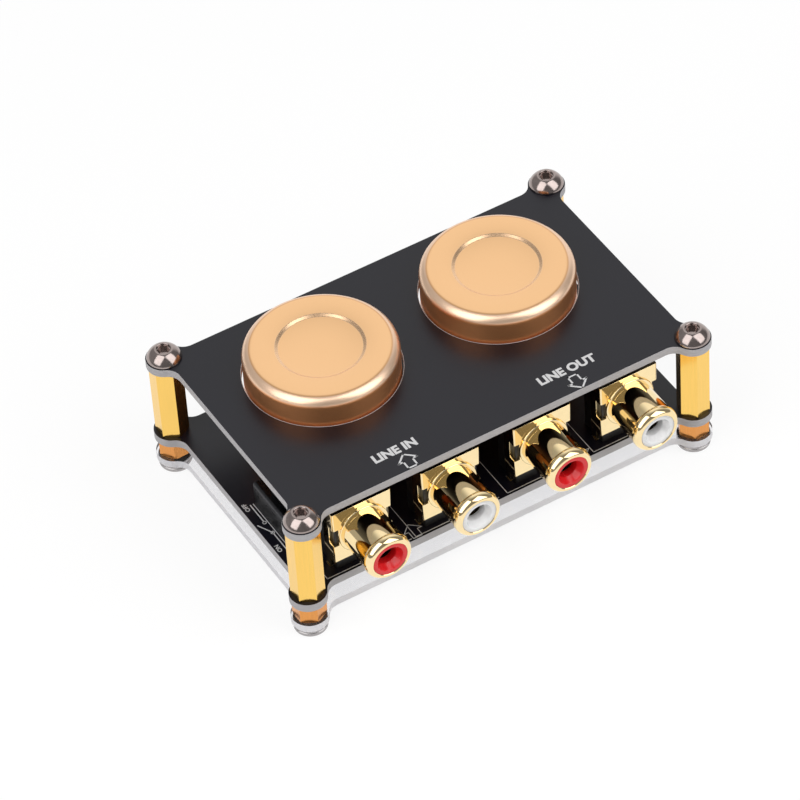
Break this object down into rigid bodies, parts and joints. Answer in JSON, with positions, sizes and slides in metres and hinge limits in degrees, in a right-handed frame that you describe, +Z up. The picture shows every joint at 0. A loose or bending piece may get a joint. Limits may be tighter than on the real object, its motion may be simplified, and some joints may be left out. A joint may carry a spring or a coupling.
{
  "type": "passive preamplifier",
  "caption": "Open-frame passive audio unit: stacked black plates on brass columns, gold transformer cans, gold phono jacks with red and white insulators, and a slide switch.",
  "frame": {"origin": "on the floor under the middle of the object's box", "axes": "+X along the row of jacks from the red input to the white output, +Y from the jacks to the back, +Z up"},
  "size_m": [0.0814, 0.056, 0.0301],
  "materials": {
    "black_laminate": "satin solder mask",
    "clear_acrylic": "clear, cut edges",
    "dark_nickel": "dark nickel plate",
    "turned_brass": "drawn and turned",
    "can_gold": "satin gold lacquer",
    "black_moulding": "moulded",
    "core_strip": "wound strip",
    "copper_wire": "enamelled",
    "foam": "open cell",
    "tinned_metal": "tinned",
    "gold_plate": "polished gold plate",
    "red_plastic": "moulded",
    "white_plastic": "moulded",
    "phenolic": "stamped sheet"
  },
  "bodies": {
    "stack": {"top_plate": "black_laminate", "main_board": "black_laminate", "base_plate": "clear_acrylic", "top_screw_front_left": "dark_nickel", "standoff_front_left": "turned_brass", "spacer_front_left": "turned_brass", "foot_screw_front_left": "dark_nickel", "top_screw_front_right": "dark_nickel", "standoff_front_right": "turned_brass", "spacer_front_right": "turned_brass", "foot_screw_front_right": "dark_nickel", "top_screw_back_right": "dark_nickel", "standoff_back_right": "turned_brass", "spacer_back_right": "turned_brass", "foot_screw_back_right": "dark_nickel", "top_screw_back_left": "dark_nickel", "standoff_back_left": "turned_brass", "spacer_back_left": "turned_brass", "foot_screw_back_left": "dark_nickel", "transformer_can_left": "can_gold", "transformer_base_left": "black_moulding", "transformer_core_left": "core_strip", "primary_winding_left": "copper_wire", "secondary_winding_left": "copper_wire", "foam_pad_left": "foam", "transformer_pins_left": "tinned_metal", "transformer_can_right": "can_gold", "transformer_base_right": "black_moulding", "transformer_core_right": "core_strip", "primary_winding_right": "copper_wire", "secondary_winding_right": "copper_wire", "foam_pad_right": "foam", "transformer_pins_right": "tinned_metal", "jack_barrel_input_red": "gold_plate", "jack_flange_input_red": "gold_plate", "jack_insulator_input_red": "red_plastic", "jack_contact_input_red": "gold_plate", "jack_body_input_red": "black_moulding", "jack_barrel_input_white": "gold_plate", "jack_flange_input_white": "gold_plate", "jack_insulator_input_white": "white_plastic", "jack_contact_input_white": "gold_plate", "jack_body_input_white": "black_moulding", "jack_barrel_output_red": "gold_plate", "jack_flange_output_red": "gold_plate", "jack_insulator_output_red": "red_plastic", "jack_contact_output_red": "gold_plate", "jack_body_output_red": "black_moulding", "jack_barrel_output_white": "gold_plate", "jack_flange_output_white": "gold_plate", "jack_insulator_output_white": "white_plastic", "jack_contact_output_white": "gold_plate", "jack_body_output_white": "black_moulding", "switch_shell": "tinned_metal", "switch_base": "phenolic", "switch_terminals": "tinned_metal"},
    "slider": {"switch_slider": "black_moulding", "switch_bridge": "gold_plate"}
  },
  "joints": [
    {"name": "switch_slide", "type": "slide", "parent": "stack", "child": "slider", "axis": [0, -1, 0], "range_m": [0, 0.0025]}
  ]
}
